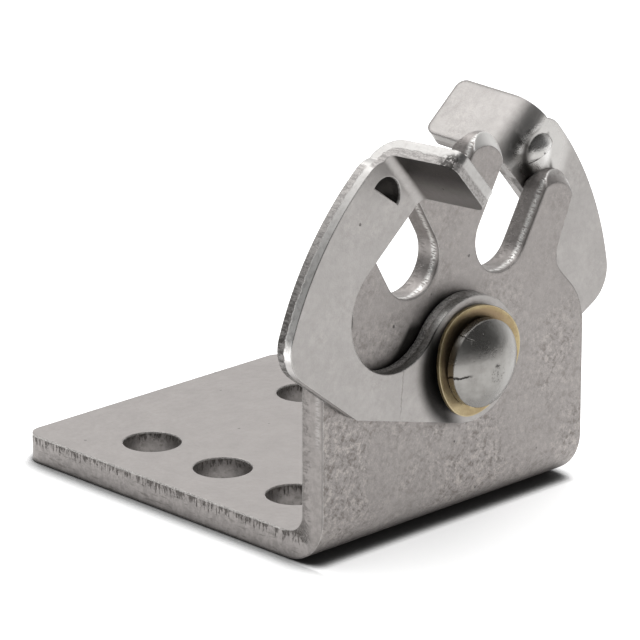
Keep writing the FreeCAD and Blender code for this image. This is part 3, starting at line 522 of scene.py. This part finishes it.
def tarnished_brass(name):
    """Spring brass, browner and darker on its upper inner part round the rivet's head, with a painted
    highlight along its edges.
    """
    brass = Finish(name, Metallic=1.0)
    cloud = brass.noise(600, 3.0, 0.6)
    fine = brass.noise(4200, 2.0, 0.6)
    x, _, z = brass.parts(brass.place)
    upper = (z - PIVOT[1] - x * 0.5).between(-0.0015, 0.0035)
    upper = upper * brass.away_from(PIVOT).between(0.0057, 0.0053)
    colour = brass.blend(cloud.between(0.35, 0.65), BRASS_DARK, BRASS_LIGHT)
    colour = brass.blend(upper * 0.65, colour, BRASS_BROWN)
    colour = brass.blend(fine.between(0.55, 0.7) * 0.4, colour, BRASS_SPECK)
    # Painted highlight along the washer's edges.
    colour = brass.blend(brass.edge_mask(0.0003) * 0.6, colour, BRASS_EDGE_HIGHLIGHT)
    roughness = 0.34 + cloud * 0.14
    return brass.finish(colour, roughness, fine * 0.6 + cloud * 0.5, BRASS_RELIEF, BRASS_EDGES)


def dress(node, material):
    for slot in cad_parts[node].material_slots:
        slot.material = material


def dress_latch(node, name, face, side, swing, bump, bright):
    """side is 1 in front of the wall and -1 behind it; the rest is as for worn_and_shaded_arm."""
    dress(node, sheet_steel(name, LATCH_STEEL, LATCH_EDGES, even_scuffs,
                            latch_edge(face, side, swing),
                            worn_and_shaded_arm(bump, face, side, swing, bright)))


def add_floor():
    """A pale sheet that glows a little, with a contact shadow painted into its colour and glow where
    it lies close beside the part.
    """
    reach, level = 1.5, -0.0001
    corners = [(-reach, -reach, level), (reach, -reach, level),
               (reach, reach, level), (-reach, reach, level)]
    mesh = bpy.data.meshes.new("floor")
    mesh.from_pydata(corners, [], [(0, 1, 2, 3)])
    floor = bpy.data.objects.new("floor", mesh)
    bpy.context.scene.collection.objects.link(floor)
    paper = Finish("pale_floor", Roughness=0.85, Emission_Strength=0.60)
    close, wide = (
        paper.node("ShaderNodeAmbientOcclusion", {"samples": 8}, {"Distance": distance}, "AO")
        for distance in (0.0022, 0.0048))
    x, _, _ = paper.parts(paper.place)
    beside = (x - LEFT_SIDE).between(0.0001, -0.0005)
    # Painted contact shadow: ambient occlusion close to the part darkens the floor's colour and glow.
    unshadowed = close.least(wide + (1 - beside)).between(0.45, 1.0)
    pale = paper.blend(paper.noise(30, 2.0, 0.5), (0.88, 0.88, 0.88), (0.90, 0.90, 0.90))
    paper.link(Base_Color=paper.blend(unshadowed, (0.10, 0.10, 0.10), pale),
               Emission_Color=paper.blend(unshadowed, (0.0, 0.0, 0.0), (1.0, 1.0, 1.0)))
    mesh.materials.append(paper.material)


def add_softbox():
    """A square soft light above and behind the part, turned to its middle."""
    place, middle = Vector((-0.05, 0.12, 0.60)), Vector((0.0, -0.01, 0.02))
    light = bpy.data.lights.new("top_softbox", "AREA")
    light.shape = "RECTANGLE"
    light.size = light.size_y = 0.70
    light.energy = 3.5
    holder = bpy.data.objects.new("top_softbox", light)
    holder.location = place
    holder.rotation_euler = (middle - place).to_track_quat("-Z", "Y").to_euler()
    bpy.context.scene.collection.objects.link(holder)


def add_camera():
    """Camera at the photograph's own place, some 470 mm away, with a 254 mm lens."""
    back = Vector((-0.6608, -0.6801, 0.3173)).normalized()
    right = Vector((0.7172, -0.6969, 0.0)).normalized()
    up = back.cross(right)
    camera = bpy.data.cameras.new("camera")
    camera.sensor_width = 36.0
    camera.lens = 253.6
    holder = bpy.data.objects.new("camera", camera)
    turn = Matrix((right, up, back)).transposed().to_4x4()
    turn.translation = Vector((-0.3153, -0.3275, 0.1689))
    holder.matrix_world = turn
    bpy.context.scene.collection.objects.link(holder)
    bpy.context.scene.camera = holder


def add_world(front, back):
    """A plain pale room, dimmer on the camera's side than behind the object."""
    world = bpy.data.worlds.new("studio")
    bpy.context.scene.world = world
    world.use_nodes = True
    nodes, links = world.node_tree.nodes, world.node_tree.links
    way = nodes.new("ShaderNodeTexCoord")
    facing = nodes.new("ShaderNodeVectorMath")
    facing.operation = "DOT_PRODUCT"
    facing.inputs[1].default_value = (0.66, 0.75, 0.0)
    level = nodes.new("ShaderNodeMapRange")
    level.interpolation_type = "SMOOTHSTEP"
    limits = {"From Min": 0.0, "From Max": 0.8, "To Min": front, "To Max": back}
    for name, value in limits.items():
        level.inputs[name].default_value = value
    links.new(way.outputs["Generated"], facing.inputs[0])
    links.new(facing.outputs["Value"], level.inputs["Value"])
    links.new(level.outputs["Result"], nodes["Background"].inputs["Strength"])
    nodes["Background"].inputs["Color"].default_value = (1.0, 1.0, 1.0, 1.0)


dress("bracket", sheet_steel("tumbled_bracket_steel", STEEL, BRACKET_EDGES,
                             wall_scuffs, bracket_edge, wall_shadow_and_crescents))
dress_latch("front_latch", "tumbled_front_latch_steel",
            FRONT_LATCH_FACE, side=1, swing=FRONT_SWING, bump=FRONT_BUMP, bright=0.0)
dress_latch("rear_latch", "tumbled_rear_latch_steel",
            REAR_LATCH_FACE, side=-1, swing=REAR_SWING, bump=REAR_BUMP, bright=1.0)
dress("pivot_rivet", head_steel("cold_formed_rivet_steel"))
dress("front_spring_washer", tarnished_brass("spring_brass_front"))
dress("rear_spring_washer", tarnished_brass("spring_brass_rear"))

add_floor()
add_camera()
add_world(front=0.14, back=1.30)
add_softbox()
bpy.context.scene.view_settings.view_transform = "Standard"
